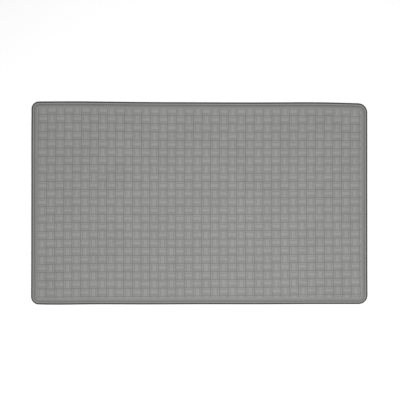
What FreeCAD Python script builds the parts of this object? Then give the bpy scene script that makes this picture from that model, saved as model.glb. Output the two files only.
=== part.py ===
import FreeCAD, Part
import math
import os

import Sketcher

# Anti-fatigue mat: a foam slab sealed between an embossed vinyl cover and a non-slip base sheet.
#
# The mat is a laminate. From the floor up it is the base sheet, a bonding film, the foam core, a second
# bonding film, the knitted cloth that backs the vinyl, and the vinyl skin with its woven relief. The
# cover is formed over the foam and welded to the base sheet round a flat lip.
#
# Frame: millimetres, +Z up, +X along the mat's length, origin at the centre of the underside.

OUT = "parts"

# Driving dimensions in millimetres and degrees: alias, value, meaning.
SIZES = [
    ("mat_length", 762.0, "outline along X, 30 inches"),
    ("mat_width", 457.2, "outline along Y, 18 inches"),
    ("mat_height", 12.0, "floor to the top of the relief"),
    ("corner_round", 19.0, "outline corner radius"),
    ("base_thick", 1.6, "non-slip base sheet"),
    ("cloth_thick", 0.4, "knitted backing of the vinyl"),
    ("skin_thick", 1.0, "vinyl skin"),
    ("film_thick", 0.2, "each bonding film"),
    ("base_margin", 3.0, "base sheet's edge, out past the cover's"),
    ("lip_reach", 6.2, "outline to the foot of the bevel"),
    ("bevel_lean", 40.0, "bevel, degrees from the vertical"),
    ("crown_round", 5.0, "round between the bevel and the top"),
    ("edge_round", 0.4, "broken edges of the base sheet and of the lip"),
    ("seam_wide", 1.2, "pressed seam, just outside the foot of the bevel"),
    ("seam_deep", 0.4, "pressed seam"),
    ("weave_pitch_x", 19.69, "relief blocks along X"),
    ("weave_pitch_y", 18.47, "relief blocks along Y"),
    ("weave_start_x", 13.9, "left outline to the first channel"),
    ("weave_start_y", 13.7, "back outline to the first channel"),
    ("channel_wide", 1.4, "channels between the relief blocks"),
    ("channel_deep", 0.5, "channels between the relief blocks"),
]
CHANNEL_COUNT_X = 38
CHANNEL_COUNT_Y = 24

# Levels above the floor, as expressions of the sheet's cells.
FLOOR = "0"
BASE_TOP = "Sizes.base_thick"
LIP_FLOOR = "(Sizes.base_thick + Sizes.cloth_thick)"
LIP_TOP = "(Sizes.base_thick + Sizes.cloth_thick + Sizes.skin_thick)"
FOAM_FLOOR = "(Sizes.base_thick + Sizes.film_thick)"
MAT_TOP = "Sizes.mat_height"

# Depths of each layer's outer face below the relief, measured square to the face.
SURFACE = "0"
CLOTH = "Sizes.skin_thick"
FILM = "(Sizes.skin_thick + Sizes.cloth_thick)"
FOAM = "(Sizes.skin_thick + Sizes.cloth_thick + Sizes.film_thick)"

# Lean of a pad's or pocket's sides.
UPRIGHT = "0 deg"
INWARDS = "-1 deg * Sizes.bevel_lean"

SAME_LEVEL = 1e-4  # mm
ORIGIN = FreeCAD.Vector(0, 0, 0)
UP = FreeCAD.Vector(0, 0, 1)


def fill_sheet(doc):
    """Writes the driving dimensions into a spreadsheet, one named cell each."""
    sheet = doc.addObject("Spreadsheet::Sheet", "Sizes")
    for row, (alias, value, meaning) in enumerate(SIZES, start=1):
        sheet.set(f"A{row}", meaning)
        sheet.set(f"B{row}", str(value))
        sheet.setAlias(f"B{row}", alias)
    doc.recompute()


def crown_inset(level, depth):
    """Distance inside the outline of a bevel lying at a depth below the cover, at a level."""
    lean = "(Sizes.bevel_lean * 1 deg)"
    return f"(Sizes.lip_reach + {depth} / cos{lean} - ({LIP_TOP} - {level}) * tan{lean})"


def crown_top(depth):
    return f"({MAT_TOP} - {depth})"


def new_body(doc, label):
    body = doc.addObject("PartDesign::Body", label)
    body.Label = label
    body.Placement = FreeCAD.Placement(ORIGIN, FreeCAD.Rotation())
    return body


def new_sketch(body, name, level):
    """An empty sketch parallel to the floor, at a level."""
    sketch = body.newObject("Sketcher::SketchObject", name)
    floor = next(f for f in body.Origin.OriginFeatures if f.Role == "XY_Plane")
    sketch.AttachmentSupport = [(floor, "")]
    sketch.MapMode = "FlatFace"
    sketch.setExpression(".AttachmentOffset.Base.z", level)
    return sketch


def constrain(sketch, *facts):
    return sketch.addConstraint(Sketcher.Constraint(*facts))


def bind(sketch, constraint, expression):
    sketch.setExpression(f"Constraints[{constraint}]", expression)


def draw_outline(sketch, inset):
    """Draws the mat's outline, moved inwards by inset: a centred rectangle with round corners."""
    half_x, half_y, radius = 300.0, 200.0, 10.0  # a first guess, which the constraints then correct
    first = sketch.GeometryCount
    corners = [(-half_x, -half_y), (half_x, -half_y), (half_x, half_y), (-half_x, half_y)]
    for k in range(4):
        here = FreeCAD.Vector(*corners[k], 0)
        there = FreeCAD.Vector(*corners[(k + 1) % 4], 0)
        along = (there - here).normalize()
        inwards = UP.cross(along)
        sketch.addGeometry(Part.LineSegment(here + along * radius, there - along * radius))
        round_corner = Part.Circle(there + (inwards - along) * radius, UP, radius)
        begin = math.radians(90 * (k - 1))
        sketch.addGeometry(Part.ArcOfCircle(round_corner, begin, begin + math.pi / 2))
    lines = [first + 2 * k for k in range(4)]
    arcs = [first + 2 * k + 1 for k in range(4)]
    for k in range(4):
        constrain(sketch, "Tangent", lines[k], 2, arcs[k], 1)
        constrain(sketch, "Tangent", arcs[k], 2, lines[(k + 1) % 4], 1)
    for side in (0, 2):
        constrain(sketch, "Horizontal", lines[side])
    for side in (1, 3):
        constrain(sketch, "Vertical", lines[side])
    for k in (1, 2, 3):
        constrain(sketch, "Equal", arcs[0], arcs[k])
    constrain(sketch, "Symmetric", arcs[0], 3, arcs[2], 3, -1, 1)
    length = constrain(sketch, "DistanceX", lines[3], 1, lines[1], 1, 2 * half_x)
    width = constrain(sketch, "DistanceY", lines[0], 1, lines[2], 1, 2 * half_y)
    corner = constrain(sketch, "Radius", arcs[0], radius)
    bind(sketch, length, f"Sizes.mat_length - 2 * {inset}")
    bind(sketch, width, f"Sizes.mat_width - 2 * {inset}")
    bind(sketch, corner, f"Sizes.corner_round - {inset}")


def raise_outline(body, name, level, inset, height, lean=UPRIGHT):
    """Raises an outline from a level. A lean draws the sides inwards as they rise."""
    sketch = new_sketch(body, f"{name}_outline", level)
    draw_outline(sketch, inset)
    feature = body.newObject("PartDesign::Pad", name)
    feature.Profile = sketch
    feature.setExpression("Length", height)
    feature.setExpression("TaperAngle", lean)
    body.Document.recompute()
    return feature


def hollow_from_below(body, name, level, inset, height, lean):
    """Cuts an outline upwards from a level, with sides that lean inwards as they rise."""
    sketch = new_sketch(body, f"{name}_outline", level)
    draw_outline(sketch, inset)
    feature = body.newObject("PartDesign::Pocket", name)
    feature.Profile = sketch
    feature.Reversed = True
    feature.setExpression("Length", height)
    feature.setExpression("TaperAngle", lean)
    body.Document.recompute()
    return feature


def round_edges(body, name, levels, radius):
    """Rounds every edge of the body that lies flat at one of the levels, given in millimetres."""
    before = body.Tip
    chosen = []
    for number, edge in enumerate(before.Shape.Edges, start=1):
        box = edge.BoundBox
        if any(max(abs(box.ZMin - z), abs(box.ZMax - z)) < SAME_LEVEL for z in levels):
            chosen.append(f"Edge{number}")
    feature = body.newObject("PartDesign::Fillet", name)
    feature.Base = (before, chosen)
    feature.setExpression("Radius", radius)
    body.Document.recompute()


def add_crown(body, floor, depth, hollow_from=None, hollow_to=None):
    """The raised slab with a leaning bevel and a rounded shoulder, its faces at a depth below the relief.

    Given a level and a depth to hollow, it is hollowed from below as far as the layer inside it. The
    hollow's corner is rounded before the slab's, because the sharp one would break through a thin layer.
    """
    height = f"{crown_top(depth)} - {floor}"
    slab = raise_outline(body, "crown", floor, crown_inset(floor, depth), height, INWARDS)
    if hollow_from is not None:
        inset = crown_inset(hollow_from, hollow_to)
        height = f"{crown_top(hollow_to)} - {hollow_from}"
        cavity = hollow_from_below(body, "cavity", hollow_from, inset, height, INWARDS)
        corner_level = cavity.AddSubShape.BoundBox.ZMax
        round_edges(body, "cavity_shoulder", [corner_level], f"Sizes.crown_round - {hollow_to}")
    round_edges(body, "shoulder", [slab.AddSubShape.BoundBox.ZMax], f"Sizes.crown_round - {depth}")


def press_seam(body):
    """The groove that the welding die leaves in the lip, at the foot of the bevel."""
    sketch = new_sketch(body, "seam_outline", LIP_TOP)
    draw_outline(sketch, "(Sizes.lip_reach - Sizes.seam_wide)")
    draw_outline(sketch, "Sizes.lip_reach")
    feature = body.newObject("PartDesign::Pocket", "seam")
    feature.Profile = sketch
    feature.setExpression("Length", "Sizes.seam_deep")
    body.Document.recompute()


def draw_bar(sketch, left, bottom, wide, high):
    """Draws a rectangle from the distances of its left and bottom sides to the origin."""
    corners = [(-5.0, -5.0), (5.0, -5.0), (5.0, 5.0), (-5.0, 5.0)]
    for k in range(4):
        here = FreeCAD.Vector(*corners[k], 0)
        there = FreeCAD.Vector(*corners[(k + 1) % 4], 0)
        sketch.addGeometry(Part.LineSegment(here, there))
    for k in range(4):
        constrain(sketch, "Coincident", k, 2, (k + 1) % 4, 1)
        constrain(sketch, "Horizontal" if k % 2 == 0 else "Vertical", k)
    bind(sketch, constrain(sketch, "DistanceX", 0, 1, 0, 2, 10.0), wide)
    bind(sketch, constrain(sketch, "DistanceY", 1, 1, 1, 2, 10.0), high)
    bind(sketch, constrain(sketch, "DistanceX", 0, 1, -1, 1, 5.0), left)
    bind(sketch, constrain(sketch, "DistanceY", 0, 1, -1, 1, 5.0), bottom)


def cut_channels(body, name, bar, axis, backwards, pitch, count):
    """Cuts evenly spaced straight channels into the top of the relief.

    bar holds the first channel's left and bottom distances, width and height. The others follow along
    the axis, or against it if backwards is set.
    """
    sketch = new_sketch(body, f"{name}_profile", MAT_TOP)
    draw_bar(sketch, *bar)
    channel = body.newObject("PartDesign::Pocket", f"{name}_first")
    channel.Profile = sketch
    channel.setExpression("Length", "Sizes.channel_deep")
    body.Document.recompute()
    row = body.newObject("PartDesign::LinearPattern", name)
    row.Originals = [channel]
    row.Direction = (sketch, [axis])
    row.Reversed = backwards
    row.Mode = "Spacing"
    row.Occurrences = count
    row.setExpression("Offset", pitch)
    body.Tip = row
    body.Document.recompute()


def build_base_sheet(doc):
    body = new_body(doc, "base_sheet")
    plate = raise_outline(body, "plate", FLOOR, "0", BASE_TOP)
    box = plate.AddSubShape.BoundBox
    round_edges(body, "broken_edges", [box.ZMin, box.ZMax], "Sizes.edge_round")
    return body


def build_base_film(doc):
    body = new_body(doc, "base_bond_film")
    raise_outline(body, "film", BASE_TOP, crown_inset(BASE_TOP, FOAM), "Sizes.film_thick", INWARDS)
    return body


def build_foam(doc):
    body = new_body(doc, "foam_core")
    add_crown(body, FOAM_FLOOR, FOAM)
    return body


def build_cover_film(doc):
    body = new_body(doc, "cover_bond_film")
    add_crown(body, BASE_TOP, FILM, BASE_TOP, FOAM)
    return body


def build_cloth(doc):
    body = new_body(doc, "cover_cloth")
    raise_outline(body, "lip", BASE_TOP, "Sizes.base_margin", "Sizes.cloth_thick")
    add_crown(body, LIP_FLOOR, CLOTH, BASE_TOP, FILM)
    return body


def build_skin(doc):
    body = new_body(doc, "cover_skin")
    lip = raise_outline(body, "lip", LIP_FLOOR, "Sizes.base_margin", "Sizes.skin_thick")
    round_edges(body, "broken_edge", [lip.AddSubShape.BoundBox.ZMax], "Sizes.edge_round")
    add_crown(body, LIP_TOP, SURFACE, LIP_FLOOR, CLOTH)
    press_seam(body)
    half_channel = "Sizes.channel_wide / 2"
    across_y = (
        f"Sizes.mat_length / 2 - Sizes.weave_start_x + {half_channel}",
        "Sizes.mat_width / 2",
        "Sizes.channel_wide",
        "Sizes.mat_width",
    )
    across_x = (
        "Sizes.mat_length / 2",
        f"Sizes.weave_start_y - Sizes.mat_width / 2 + {half_channel}",
        "Sizes.mat_length",
        "Sizes.channel_wide",
    )
    cut_channels(body, "channels_across_y", across_y, "H_Axis", False, "Sizes.weave_pitch_x", CHANNEL_COUNT_X)
    cut_channels(body, "channels_across_x", across_x, "V_Axis", True, "Sizes.weave_pitch_y", CHANNEL_COUNT_Y)
    return body


def check(doc, bodies):
    """Stops the build if any object is in error or any sub-part is not one valid solid."""
    broken = [o.Name for o in doc.Objects if "Invalid" in o.State or "Error" in o.State]
    if broken:
        raise RuntimeError(f"objects in error: {broken}")
    for body in bodies:
        shape = body.Shape
        if shape.isNull() or not shape.isValid() or len(shape.Solids) != 1:
            raise RuntimeError(f"{body.Label} is not one valid solid")
        box = shape.BoundBox
        size = f"{box.XLength:.2f} x {box.YLength:.2f}, z {box.ZMin:.2f} to {box.ZMax:.2f}"
        print(f"{body.Label}: {size}, {shape.Volume / 1000:.1f} cm3, {len(shape.Faces)} faces")


def main():
    doc = FreeCAD.newDocument("anti_fatigue_mat")
    fill_sheet(doc)
    builders = [build_base_sheet, build_base_film, build_foam, build_cover_film, build_cloth, build_skin]
    bodies = [build(doc) for build in builders]
    doc.recompute()
    check(doc, bodies)
    os.makedirs(OUT, exist_ok=True)
    for body in bodies:
        body.Shape.exportStep(f"{OUT}/{body.Label}.step")


main()
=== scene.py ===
import math
from collections import namedtuple

import bpy
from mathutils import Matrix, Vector, noise


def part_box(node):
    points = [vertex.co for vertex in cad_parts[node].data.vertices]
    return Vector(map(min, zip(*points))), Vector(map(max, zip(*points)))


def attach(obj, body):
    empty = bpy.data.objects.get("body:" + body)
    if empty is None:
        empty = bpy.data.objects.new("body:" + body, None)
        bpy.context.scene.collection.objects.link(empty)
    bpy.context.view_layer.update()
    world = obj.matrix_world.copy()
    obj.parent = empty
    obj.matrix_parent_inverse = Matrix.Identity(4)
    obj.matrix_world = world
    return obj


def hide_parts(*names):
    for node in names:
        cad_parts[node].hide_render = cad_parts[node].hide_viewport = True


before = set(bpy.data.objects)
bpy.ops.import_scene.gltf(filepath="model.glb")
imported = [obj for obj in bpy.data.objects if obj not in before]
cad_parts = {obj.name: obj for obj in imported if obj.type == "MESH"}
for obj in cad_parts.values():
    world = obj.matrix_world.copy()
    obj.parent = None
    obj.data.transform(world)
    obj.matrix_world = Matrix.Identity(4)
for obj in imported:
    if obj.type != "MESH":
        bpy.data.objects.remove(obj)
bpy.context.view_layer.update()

MM = 0.001

# ---------------------------------------------------------------- sizes in millimetres


def box_mm(node):
    """A CAD node's lowest and highest corners."""
    low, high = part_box(node)
    return low / MM, high / MM


BASE_LOW, BASE_HIGH = box_mm("base_sheet")
SKIN_LOW, SKIN_HIGH = box_mm("cover_skin")
CLOTH_DEPTH = SKIN_HIGH.z - box_mm("cover_cloth")[1].z
FILM_DEPTH = SKIN_HIGH.z - box_mm("cover_bond_film")[1].z
FOAM_DEPTH = SKIN_HIGH.z - box_mm("foam_core")[1].z

LENGTH = BASE_HIGH.x - BASE_LOW.x
WIDTH = BASE_HIGH.y - BASE_LOW.y
TOP = SKIN_HIGH.z
BASE_TOP = BASE_HIGH.z
LIP_FLOOR = SKIN_LOW.z
LIP_TOP = LIP_FLOOR + CLOTH_DEPTH
FOAM_FLOOR = box_mm("foam_core")[0].z
COVER_MARGIN = SKIN_LOW.x - BASE_LOW.x
CLEAR = 0.02  # between hidden faces that touch

CORNER_LINE = 20.0  # a lattice line near where the corners start to bend
# The radius of each corner, by whether it is at the right and whether it is at the front.
CORNER_ROUNDS = {(False, False): 16.5, (True, False): 21.0, (False, True): 17.5, (True, True): 20.5}
LIP_REACH = 6.8  # outline to the foot of the bevel
SHOULDER_WIDE = 9.6  # foot of the bevel to the flat of the top
SHOULDER_POWER = 0.58
RELIEF_FROM, RELIEF_FULL = 11.8, 16.8  # the relief runs out over the shoulder
DRAW_WIDE = 10.0  # foot of the bevel to where the weave shifts in full

PITCH_U, PITCH_V = 19.69, 18.47
START_U, START_V = 13.9, 13.7
COUNT_U, COUNT_V = 37, 23  # whole relief blocks
EMBOSS = 0.72  # depth of the relief
# How the weave is drawn along u and along v: all over, growing to the right, to the front and to both,
# and bowed along the length and along the width.
DRAW_U = (5.5, -5.0, -4.0, 6.0, -3.0, -1.5)
DRAW_V = (-3.5, 2.0, 4.5, -8.0, 0.5, 1.5)

WAVE, WAVE_UP, WAVE_LENGTH = 0.6, 0.2, 170.0  # unevenness of the outline and of the top
WAVE_SEED, WAVE_SLICE = 1, 3.1  # which noise the waves are taken from, and at what height in it
# The left end is spread, most at the back and less at the front, each about a middle along u with a reach.
SPREAD, SPREAD_FRONT_SHARE = 2.2, 0.8
SPREAD_BACK_PLACE, SPREAD_FRONT_PLACE = (100.0, 120.0), (20.0, 80.0)
BOW_LEFT, BOW_RIGHT = 0.7, 1.1  # the ends are drawn in at their middle
# The corners are drawn in: corner u and v, pull along x and y, reach.
TUCKS = [(0.0, 0.0, 1.3, 0.0, 70.0), (LENGTH, 0.0, -0.9, -2.3, 70.0), (0.0, WIDTH, 0.0, 1.7, 55.0),
         (LENGTH, WIDTH, 0.0, 0.9, 120.0)]

# The relief's height over a block, by the place from 0 to 1: across its three strands, and along them.
# The blocks whose strands run along u lean a little to the front: their front strand is pressed deeper.
ACROSS_U = [(0.0, 0.0), (0.05, 0.56), (0.12, 0.72), (0.19, 0.54), (0.24, 0.22), (0.29, 0.74), (0.37, 0.82),
            (0.63, 0.82), (0.71, 0.74), (0.76, 0.22), (0.81, 0.54), (0.88, 0.72), (0.95, 0.56), (1.0, 0.0)]
ACROSS_V = [(0.0, 0.0), (0.05, 0.56), (0.12, 0.76), (0.19, 0.58), (0.24, 0.30), (0.29, 0.86), (0.37, 0.98),
            (0.48, 0.95), (0.60, 0.84), (0.69, 0.60), (0.75, 0.28), (0.80, 0.44), (0.87, 0.56), (0.95, 0.4),
            (1.0, 0.0)]
ALONG = [(0.0, 0.0), (0.05, 0.84), (0.18, 1.0), (0.82, 1.0), (0.95, 0.84), (1.0, 0.0)]

# Where the seam's painted shade starts, the seam's depth, and how strongly painted shade darkens its groove.
SEAM_FROM, SEAM_DEEP, SEAM_SHADE = 5.0, 0.36, 0.85
FOOT_WIDE, FOOT_SHADE = 11.0, 0.52  # painted shade on the cover, darkest at the foot of the bevel
# The cover's lip with its pressed seam: distance inside the outline, height.
LIP = [(COVER_MARGIN, LIP_TOP - 0.4), (COVER_MARGIN + 0.12, LIP_TOP - 0.12), (COVER_MARGIN + 0.4, LIP_TOP),
       (4.3, LIP_TOP + 0.05), (5.1, LIP_TOP), (5.4, LIP_TOP - 0.26), (5.7, LIP_TOP - SEAM_DEEP),
       (6.3, LIP_TOP - SEAM_DEEP), (LIP_REACH, LIP_TOP)]
BEVEL_RINGS = [7.1, 7.7, 8.6, 9.8, 11.2, 12.6]

# The base sheet's broken edges: distance inside the outline, distance from its upper or lower face.
BROKEN_EDGE = [(0.0, 0.4), (0.12, 0.12), (0.4, 0.0), (3.6, 0.0), (LIP_REACH, 0.0)]
TREAD_DEEP = 0.45
TREAD_FROM, TREAD_FULL = 9.0, 12.0  # the tread starts inside a flat border
CHANNEL_FLOOR, CHANNEL_TOP = 0.035, 0.065  # half widths of the tread's channels, as a share of a block
TREAD_PATTERN = [0.0, CHANNEL_FLOOR, CHANNEL_TOP, 1 - CHANNEL_TOP, 1 - CHANNEL_FLOOR, 1.0]

COVER_RINGS = [x for x, _ in LIP] + BEVEL_RINGS
BASE_RINGS = [x for x, _ in BROKEN_EDGE] + BEVEL_RINGS
FILM_RINGS = [8.35, 8.7, 9.2, 10.2, 11.4, 12.6]
CORE_RINGS = [x + 0.25 for x in FILM_RINGS]  # the foam ends a little inside its upper film
RIM_DEPTH = 0.3  # least thickness of the foam and of its upper film
SHARP_ANGLE = math.radians(55)


# ---------------------------------------------------------------- the mat's surfaces
# A place on the mat is u to the right of the left outline and v in front of the back outline.


def interpolate(table, x):
    """Height from a table of (position, height), straight between its rows."""
    if x <= table[0][0]:
        return table[0][1]
    for (x0, z0), (x1, z1) in zip(table, table[1:]):
        if x <= x1:
            return z0 + (z1 - z0) * (x - x0) / (x1 - x0)
    return table[-1][1]


def smooth(x):
    x = min(max(x, 0.0), 1.0)
    return x * x * (3 - 2 * x)


def outline_distance(u, v):
    return min(u, LENGTH - u, v, WIDTH - v)


def block_of(u, v):
    """The relief block at a place, and the place within it from 0 to 1."""
    p, q = (u - START_U) / PITCH_U, (v - START_V) / PITCH_V
    k, m = math.floor(p), math.floor(q)
    return k, m, p - k, q - m


def strands_run_up(k, m):
    """Whether a block's strands run along v. The others run along u."""
    return (k + m) % 2 == 0


def relief(u, v):
    """The woven relief, from 0 in the channels to 1 on the wide strands."""
    k, m, p, q = block_of(u, v)
    if strands_run_up(k, m):
        return interpolate(ACROSS_U, p) * interpolate(ALONG, q)
    return interpolate(ACROSS_V, q) * interpolate(ALONG, p)


def relief_loss(inset, u, v):
    """How far the relief lies below its highest, from 0 to 1. It runs out down the bevel."""
    return smooth((inset - RELIEF_FROM) / (RELIEF_FULL - RELIEF_FROM)) * (1 - relief(u, v))


def crown(inset):
    """Height of the plain cover at a distance inside the outline: lip, bevel and soft shoulder."""
    t = min(max((inset - LIP_REACH) / SHOULDER_WIDE, 0.0), 1.0)
    return LIP_TOP + (TOP - LIP_TOP) * (1 - (1 - t) ** 2) ** SHOULDER_POWER


def shade(inset, u, v):
    """Painted shade on the cover's colour, from 0 to 1: in the seam, at the bevel's foot and in the relief's
    hollows.
    """
    if inset < SEAM_FROM:
        return 0.0
    if inset < LIP_REACH:
        return SEAM_SHADE * max(LIP_TOP - interpolate(LIP, inset), 0.0) / SEAM_DEEP
    return max(relief_loss(inset, u, v), FOOT_SHADE * (1 - (inset - LIP_REACH) / FOOT_WIDE))


def cover_face(inset, u, v):
    if inset < LIP_REACH:
        return interpolate(LIP, inset)
    return crown(inset) - EMBOSS * relief_loss(inset, u, v)


def inner_face(depth, floor):
    """A surface that follows the crown at a depth, and no lower than a floor."""
    return lambda inset, u, v: max(crown(inset - depth) - depth, floor)


def level(z):
    return lambda inset, u, v: z


def base_upper_face(inset, u, v):
    return BASE_TOP - interpolate(BROKEN_EDGE, inset)


def base_lower_face(inset, u, v):
    """The tread: flat pads between shallow channels, inside a flat border."""
    p, q = block_of(u, v)[2:]
    near = min(p, 1 - p, q, 1 - q)
    channel = 1 - smooth((near - CHANNEL_FLOOR) / (CHANNEL_TOP - CHANNEL_FLOOR))
    border = smooth((inset - TREAD_FROM) / (TREAD_FULL - TREAD_FROM))
    return interpolate(BROKEN_EDGE, inset) + TREAD_DEEP * channel * border


def draw_of_weave(u, v):
    """Where the sheet, drawn unevenly over its mould, carries a place of the even weave. The lip stays."""
    t, s = u / LENGTH, v / WIDTH
    terms = (1.0, t, s, t * s, math.sin(math.pi * t), math.sin(math.pi * s))
    share = smooth((outline_distance(u, v) - LIP_REACH) / DRAW_WIDE)
    along = sum(size * term for size, term in zip(DRAW_U, terms))
    across = sum(size * term for size, term in zip(DRAW_V, terms))
    return u + along * share, v + across * share


def round_corner(u, v):
    """Bends the lattice so that its outer lines follow the round corners of the outline."""
    a, b = min(u, LENGTH - u), min(v, WIDTH - v)
    radius = CORNER_ROUNDS[u > LENGTH / 2, v > WIDTH / 2]
    if a >= radius or b >= radius:
        return u, v
    reach = radius - min(a, b)
    angle = math.pi / 4 * (radius - max(a, b)) / reach
    near, side = radius - reach * math.cos(angle), radius - reach * math.sin(angle)
    a, b = (near, side) if a < b else (side, near)
    return a if u < LENGTH / 2 else LENGTH - a, b if v < WIDTH / 2 else WIDTH - b


def spread(u, middle, reach):
    """How far the mat is spread at a place along its length."""
    return SPREAD * math.exp(-(((u - middle) / reach) ** 2))


def drift(u, v, z):
    """Where a place of the even mat lies: slightly wavy and out of line, but flat underneath."""
    dx, dy, dz = noise.noise_vector(Vector((u / WAVE_LENGTH, v / WAVE_LENGTH, WAVE_SLICE)))
    back = spread(u, *SPREAD_BACK_PLACE) * (1 - v / WIDTH)
    front = spread(u, *SPREAD_FRONT_PLACE) * v / WIDTH
    t = u / LENGTH
    bow = math.sin(math.pi * v / WIDTH) * (BOW_LEFT * (1 - t) ** 4 - BOW_RIGHT * t ** 4)
    x = BASE_LOW.x + u + WAVE * dx + bow
    y = BASE_HIGH.y - v + WAVE * dy + back - SPREAD_FRONT_SHARE * front
    for corner_u, corner_v, pull_x, pull_y, reach in TUCKS:
        share = math.exp(-((u - corner_u) ** 2 + (v - corner_v) ** 2) / reach ** 2)
        x += pull_x * share
        y += pull_y * share
    return x, y, z + WAVE_UP * dz * smooth(z / TOP)


# ---------------------------------------------------------------- the lattice of blocks


# A band is a stretch of the mat's length or width: a lip, or a block with its number.
Band = namedtuple("Band", "low high is_lip number")
SPARSE = [0.0, 0.5, 1.0]
LINE_GAP, LIP_LINE_GAP = 0.3, 0.1  # lines nearer than this become one


def weave_pattern(k, m):
    """The lines that cross a block along u and along v: fine across the strands, coarse along them."""
    along = [p for p, _ in ALONG]
    if strands_run_up(k, m):
        return [p for p, _ in ACROSS_U], along
    return along, [p for p, _ in ACROSS_V]


def tread_pattern(k, m):
    return TREAD_PATTERN, TREAD_PATTERN


def plain_pattern(k, m):
    return SPARSE, SPARSE


def bands(size, start, pitch, count, rim):
    """The bands across one direction of the mat, from the outermost ring to the side opposite."""
    cuts = [start + pitch * k for k in range(count + 1)]
    found = [Band(cuts[k], cuts[k + 1], False, k) for k in range(count)]
    foot = max(rim, LIP_REACH)
    found = [Band(foot, cuts[0], False, -1)] + found + [Band(cuts[-1], size - foot, False, count)]
    if rim < LIP_REACH:
        first, last = Band(rim, LIP_REACH, True, -1), Band(size - LIP_REACH, size - rim, True, count)
        found = [first] + found + [last]
    return found


def lines_across(band, size, start, pitch, pattern, rings):
    """Where lines cross a band: the pattern of its block, the rings round the mat and the corners' line."""
    wanted = [x for r in rings + [CORNER_LINE] for x in (r, size - r)]
    if not band.is_lip:
        wanted += [start + pitch * (band.number + p) for p in pattern]
    gap = LIP_LINE_GAP if band.is_lip else LINE_GAP
    kept = [band.low]
    for x in sorted(wanted):
        if x - kept[-1] > gap and band.high - x > gap:
            kept.append(x)
    return kept + [band.high]


def tile(rings, pattern, face):
    """A surface over the whole mat: a vertex number for each place of the even lattice, vertices and faces.

    With them comes each vertex's spot on the even mat: its distance inside the outline, u and v.
    Neighbouring blocks may be crossed by different lines. The side they share takes the lines of both.
    """
    columns = bands(LENGTH, START_U, PITCH_U, COUNT_U, rings[0])
    rows = bands(WIDTH, START_V, PITCH_V, COUNT_V, rings[0])
    lines = {}
    for i, column in enumerate(columns):
        for j, row in enumerate(rows):
            along_u, along_v = pattern(column.number, row.number)
            if row.is_lip:
                along_u = SPARSE
            if column.is_lip:
                along_v = SPARSE
            lines[i, j] = (
                lines_across(column, LENGTH, START_U, PITCH_U, along_u, rings),
                lines_across(row, WIDTH, START_V, PITCH_V, along_v, rings),
            )
    numbers, points, spots, faces = {}, [], [], []

    def vertex(u, v):
        key = (round(u, 3), round(v, 3))
        if key not in numbers:
            numbers[key] = len(points)
            drawn = draw_of_weave(u, v)
            spots.append((outline_distance(*drawn), u, v))
            points.append((*round_corner(*drawn), face(*spots[-1])))
        return numbers[key]

    def shared(own, neighbour, axis):
        theirs = lines[neighbour][axis] if neighbour in lines else []
        return sorted(set(own) | set(theirs))

    def between(values, low, high):
        return [x for x in values if low <= x <= high]

    for (i, j), (us, vs) in lines.items():
        back, front = shared(us, (i, j - 1), 0), shared(us, (i, j + 1), 0)
        left, right = shared(vs, (i - 1, j), 1), shared(vs, (i + 1, j), 1)
        for u0, u1 in zip(us, us[1:]):
            for v0, v1 in zip(vs, vs[1:]):
                west = between(left, v0, v1) if u0 == us[0] else [v0, v1]
                east = between(right, v0, v1) if u1 == us[-1] else [v0, v1]
                south = between(front, u0, u1) if v1 == vs[-1] else [u0, u1]
                north = between(back, u0, u1) if v0 == vs[0] else [u0, u1]
                loop = [(u0, v) for v in west] + [(u, v1) for u in south[1:]]
                loop += [(u1, v) for v in reversed(east[:-1])] + [(u, v0) for u in reversed(north[1:-1])]
                faces.append([vertex(u, v) for u, v in loop])
    return numbers, points, spots, faces


def rim_of(numbers):
    """The outermost places of a tiled surface, anticlockwise as seen from above."""
    us, vs = sorted({u for u, _ in numbers}), sorted({v for _, v in numbers})
    front = sorted(k for k in numbers if k[1] == vs[-1])
    right = sorted((k for k in numbers if k[0] == us[-1]), key=lambda k: -k[1])
    back = sorted((k for k in numbers if k[1] == vs[0]), reverse=True)
    left = sorted((k for k in numbers if k[0] == us[0]), key=lambda k: k[1])
    return front[:-1] + right[:-1] + back[:-1] + left[:-1]


def build_layer(name, rings, upper, lower,
                upper_pattern=plain_pattern, lower_pattern=plain_pattern, mark=None):
    """A closed layer of the laminate, between an upper and a lower face.

    mark gives each spot of the upper face a number, which a material reads by mark's name.
    """
    over, upper_points, upper_spots, upper_faces = tile(rings, upper_pattern, upper)
    under, lower_points, _, lower_faces = tile(rings, lower_pattern, lower)
    shift = len(upper_points)
    faces = upper_faces + [[shift + n for n in reversed(f)] for f in lower_faces]
    rim = rim_of(over)
    for here, there in zip(rim, rim[1:] + rim[:1]):
        faces.append([shift + under[here], shift + under[there], over[there], over[here]])
    points = [drift(*place) for place in upper_points + lower_points]
    mesh = bpy.data.meshes.new(name)
    mesh.from_pydata([Vector(p) * MM for p in points], [], faces)
    mesh.validate()
    mesh.shade_smooth()
    mesh.set_sharp_from_angle(angle=SHARP_ANGLE)
    if mark:
        marks = mesh.attributes.new(mark.__name__, "FLOAT", "POINT")
        for number, spot in enumerate(upper_spots):
            marks.data[number].value = mark(*spot)
    piece = bpy.data.objects.new(name, mesh)
    bpy.context.scene.collection.objects.link(piece)
    return piece


# ---------------------------------------------------------------- materials


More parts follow.
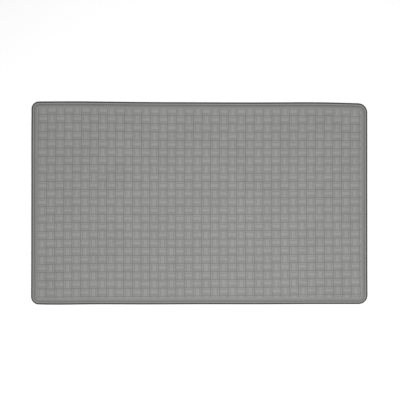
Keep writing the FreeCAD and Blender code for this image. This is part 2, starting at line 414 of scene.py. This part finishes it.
class Graph:
    """A material's nodes, with short ways to add and join them."""

    def __init__(self, name):
        self.material = bpy.data.materials.new(name)
        self.material.use_nodes = True
        self.tree = self.material.node_tree
        self.shader = self.tree.nodes["Principled BSDF"]
        self.place = self.add("ShaderNodeTexCoord").outputs["Object"]

    def add(self, kind, settings=None, **inputs):
        """A node. settings are its own properties, and inputs are values or outputs of other nodes."""
        node = self.tree.nodes.new(kind)
        for key, value in (settings or {}).items():
            setattr(node, key, value)
        for key, value in inputs.items():
            self.feed(node.inputs[key.replace("_", " ")], value)
        return node

    def feed(self, socket, value):
        if isinstance(value, bpy.types.NodeSocket):
            self.tree.links.new(value, socket)
        else:
            socket.default_value = value

    def noise(self, scale, detail=3.0):
        node = self.add("ShaderNodeTexNoise", Vector=self.place, Scale=scale, Detail=detail, Roughness=0.55)
        return node.outputs["Fac"]

    def cells(self, scale, feature="F1", randomness=1.0):
        node = self.add("ShaderNodeTexVoronoi", {"feature": feature}, Vector=self.place, Scale=scale,
                        Randomness=randomness)
        return node.outputs["Distance"]

    def remap(self, value, low, high, to_low, to_high):
        """Low to high becomes to_low to to_high, and stays within them."""
        node = self.add("ShaderNodeMapRange", {"clamp": True}, Value=value)
        for key, number in (("From Min", low), ("From Max", high), ("To Min", to_low), ("To Max", to_high)):
            node.inputs[key].default_value = number
        return node.outputs["Result"]

    def math(self, operation, a, b):
        node = self.add("ShaderNodeMath", {"operation": operation})
        self.feed(node.inputs[0], a)
        self.feed(node.inputs[1], b)
        return node.outputs[0]

    def mix(self, factor, a, b):
        """A mix of two colours. The node's inputs 6 and 7 and output 2 are its colour ones."""
        node = self.add("ShaderNodeMix", {"data_type": "RGBA"})
        self.feed(node.inputs[0], factor)
        self.feed(node.inputs[6], a)
        self.feed(node.inputs[7], b)
        return node.outputs[2]

    def bump(self, height, distance, strength, normal=None):
        node = self.add("ShaderNodeBump", Height=height, Distance=distance, Strength=strength)
        if normal is not None:
            self.feed(node.inputs["Normal"], normal)
        return node.outputs["Normal"]

    def blotches(self, scale, low, high, detail=3.0):
        """Soft noise, whose usual 0.3 to 0.7 becomes low to high."""
        return self.remap(self.noise(scale, detail), 0.3, 0.7, low, high)

    def finish(self, **inputs):
        for key, value in inputs.items():
            self.feed(self.shader.inputs[key.replace("_", " ")], value)
        return self.material


def cover_vinyl():
    """Grey embossed vinyl with a fine leather grain, darkened by painted shade where the shade mark says."""
    g = Graph("cover_vinyl")
    # painted shade: the mesh's shade mark darkens the colour in the seam, at the bevel's foot and in the
    # relief's hollows
    painted_shade = g.add("ShaderNodeAttribute", {"attribute_name": "shade"}).outputs["Fac"]
    tone = g.mix(g.blotches(14.0, 0.0, 1.0), (0.230, 0.230, 0.223, 1), (0.250, 0.250, 0.242, 1))
    speckle = g.blotches(1900.0, 0.0, 0.35, detail=2.0)
    tone = g.mix(speckle, tone, (0.185, 0.185, 0.179, 1))
    # how strongly the painted shade darkens the colour
    depth = g.math("POWER", g.remap(painted_shade, 0.05, 1.0, 0.0, 0.85), 1.6)
    tone = g.mix(depth, tone, (0.09, 0.09, 0.087, 1))
    pebble = g.cells(1050.0, "SMOOTH_F1")
    pores = g.noise(3800.0, 2.0)
    grain = g.bump(pores, 0.00004, 0.8, g.bump(pebble, 0.00014, 0.9))
    rough = g.math("ADD", g.blotches(60.0, 0.50, 0.58), g.remap(pebble, 0.0, 0.6, -0.04, 0.06))
    return g.finish(Base_Color=tone, Roughness=rough, Normal=grain, Specular_IOR_Level=0.42)


def base_vinyl():
    """Dark non-slip vinyl with a fine pimpled grain."""
    g = Graph("base_vinyl")
    tone = g.mix(g.blotches(30.0, 0.0, 1.0), (0.024, 0.024, 0.025, 1), (0.034, 0.034, 0.035, 1))
    pimples = g.cells(900.0, randomness=0.4)
    tone = g.mix(g.remap(pimples, 0.1, 0.6, 0.0, 0.5), tone, (0.016, 0.016, 0.017, 1))
    return g.finish(
        Base_Color=tone,
        Roughness=g.blotches(220.0, 0.66, 0.84),
        Normal=g.bump(pimples, 0.00012, 0.8),
    )


def foam():
    """Closed-cell foam, its cells cut open on the surface."""
    g = Graph("foam")
    cells = g.cells(700.0)
    tone = g.mix(g.remap(cells, 0.1, 0.7, 0.0, 1.0), (0.085, 0.085, 0.09, 1), (0.15, 0.15, 0.155, 1))
    return g.finish(
        Base_Color=g.mix(g.blotches(18.0, 0.0, 0.3), tone, (0.1, 0.1, 0.1, 1)),
        Roughness=g.blotches(300.0, 0.78, 0.95),
        Normal=g.bump(cells, 0.0003, 0.9),
    )


def backing_cloth():
    """Off-white knit: fine wales across the sheet, with small stitches along them."""
    g = Graph("backing_cloth")
    wales = g.add("ShaderNodeTexWave", {"wave_type": "BANDS", "bands_direction": "X"}, Vector=g.place,
                  Scale=160.0, Distortion=1.2, Detail=2.0).outputs["Fac"]
    stitches = g.add("ShaderNodeTexWave", {"wave_type": "BANDS", "bands_direction": "Y"}, Vector=g.place,
                     Scale=210.0, Distortion=2.0, Detail=2.0).outputs["Fac"]
    knit = g.math("MULTIPLY", wales, stitches)
    tone = g.mix(g.remap(knit, 0.1, 0.7, 0.0, 1.0), (0.5, 0.49, 0.46, 1), (0.72, 0.71, 0.68, 1))
    return g.finish(
        Base_Color=tone,
        Roughness=g.blotches(400.0, 0.8, 0.98),
        Normal=g.bump(knit, 0.00015, 0.9),
    )


def bond_film():
    """Set adhesive: amber, blotchy and slightly shiny."""
    g = Graph("bond_film")
    tone = g.mix(g.blotches(45.0, 0.0, 1.0, detail=4.0), (0.5, 0.43, 0.27, 1), (0.66, 0.6, 0.43, 1))
    return g.finish(
        Base_Color=tone,
        Roughness=g.blotches(120.0, 0.18, 0.38),
        Normal=g.bump(g.noise(260.0, 4.0), 0.0002, 0.6),
    )


def pale_floor():
    """A matt white floor with faint clouds."""
    g = Graph("pale_floor")
    tone = g.mix(g.blotches(2.0, 0.0, 1.0), (0.94, 0.94, 0.94, 1), (0.96, 0.96, 0.96, 1))
    return g.finish(Base_Color=tone, Roughness=g.blotches(40.0, 0.85, 0.95))


# ---------------------------------------------------------------- the object


def stand_for(piece, node, material):
    """The piece shows in place of a CAD node."""
    piece.data.materials.append(material)
    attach(piece, "root")
    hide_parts(node)


def build_cover():
    # The skin carries the shade mark, which its material paints as shade.
    skin = build_layer(
        "skin_vinyl", COVER_RINGS, cover_face, inner_face(CLOTH_DEPTH, LIP_FLOOR), weave_pattern, mark=shade)
    stand_for(skin, "cover_skin", cover_vinyl())
    cloth = build_layer(
        "skin_cloth", COVER_RINGS,
        inner_face(CLOTH_DEPTH + CLEAR, LIP_FLOOR - CLEAR), inner_face(FILM_DEPTH, BASE_TOP))
    stand_for(cloth, "cover_cloth", backing_cloth())


def build_filling():
    film = bond_film()
    upper_film = build_layer(
        "upper_film", FILM_RINGS,
        inner_face(FILM_DEPTH + CLEAR, BASE_TOP + RIM_DEPTH), inner_face(FOAM_DEPTH, BASE_TOP))
    stand_for(upper_film, "cover_bond_film", film)
    slab = build_layer(
        "foam_slab", CORE_RINGS, inner_face(FOAM_DEPTH + CLEAR, FOAM_FLOOR + RIM_DEPTH), level(FOAM_FLOOR))
    stand_for(slab, "foam_core", foam())
    lower_film = build_layer("lower_film", CORE_RINGS, level(FOAM_FLOOR - CLEAR), level(BASE_TOP + CLEAR))
    stand_for(lower_film, "base_bond_film", film)


def build_base():
    base = build_layer(
        "tread_sheet", BASE_RINGS, base_upper_face, base_lower_face, lower_pattern=tread_pattern)
    stand_for(base, "base_sheet", base_vinyl())


# ---------------------------------------------------------------- floor, light and camera


def build_floor():
    """A floor 60 m wide, a hair below the mat's underside."""
    half, drop = 30.0, 0.0002
    corners = [(-half, -half, 0), (half, -half, 0), (half, half, 0), (-half, half, 0)]
    mesh = bpy.data.meshes.new("floor")
    mesh.from_pydata(corners, [], [(0, 1, 2, 3)])
    floor = bpy.data.objects.new("floor", mesh)
    floor.location.z = -drop
    bpy.context.scene.collection.objects.link(floor)
    mesh.materials.append(pale_floor())


def add_softbox(name, place, aim, size, power):
    lamp = bpy.data.lights.new(name, "AREA")
    lamp.shape = "SQUARE"
    lamp.size = size
    lamp.energy = power
    box = bpy.data.objects.new(name, lamp)
    box.location = place
    box.rotation_euler = (Vector(aim) - Vector(place)).to_track_quat("-Z", "Y").to_euler()
    bpy.context.scene.collection.objects.link(box)


def light_scene():
    """One softbox overhead, a little towards the mat's front, in a dimmer pale room."""
    world = bpy.data.worlds.new("studio")
    world.use_nodes = True
    backdrop = world.node_tree.nodes["Background"]
    backdrop.inputs["Color"].default_value = (1, 1, 1, 1)
    backdrop.inputs["Strength"].default_value = 0.45
    bpy.context.scene.world = world
    add_softbox("overhead", place=(0.13, -0.28, 1.95), aim=(0.05, -0.05, 0), size=0.7, power=30.3)
    bpy.context.scene.view_settings.view_transform = "Standard"


def add_camera():
    """Straight above, looking down at a square of floor 906 mm wide through a long lens."""
    distance, seen = 2.5, 0.9055
    camera = bpy.data.cameras.new("camera")
    camera.sensor_width = 36.0
    camera.lens = camera.sensor_width * distance / seen
    view = bpy.data.objects.new("camera", camera)
    view.location = (0.0014, 0.0075, distance)
    bpy.context.scene.collection.objects.link(view)
    bpy.context.scene.camera = view


noise.seed_set(WAVE_SEED)
build_cover()
build_filling()
build_base()
build_floor()
light_scene()
add_camera()
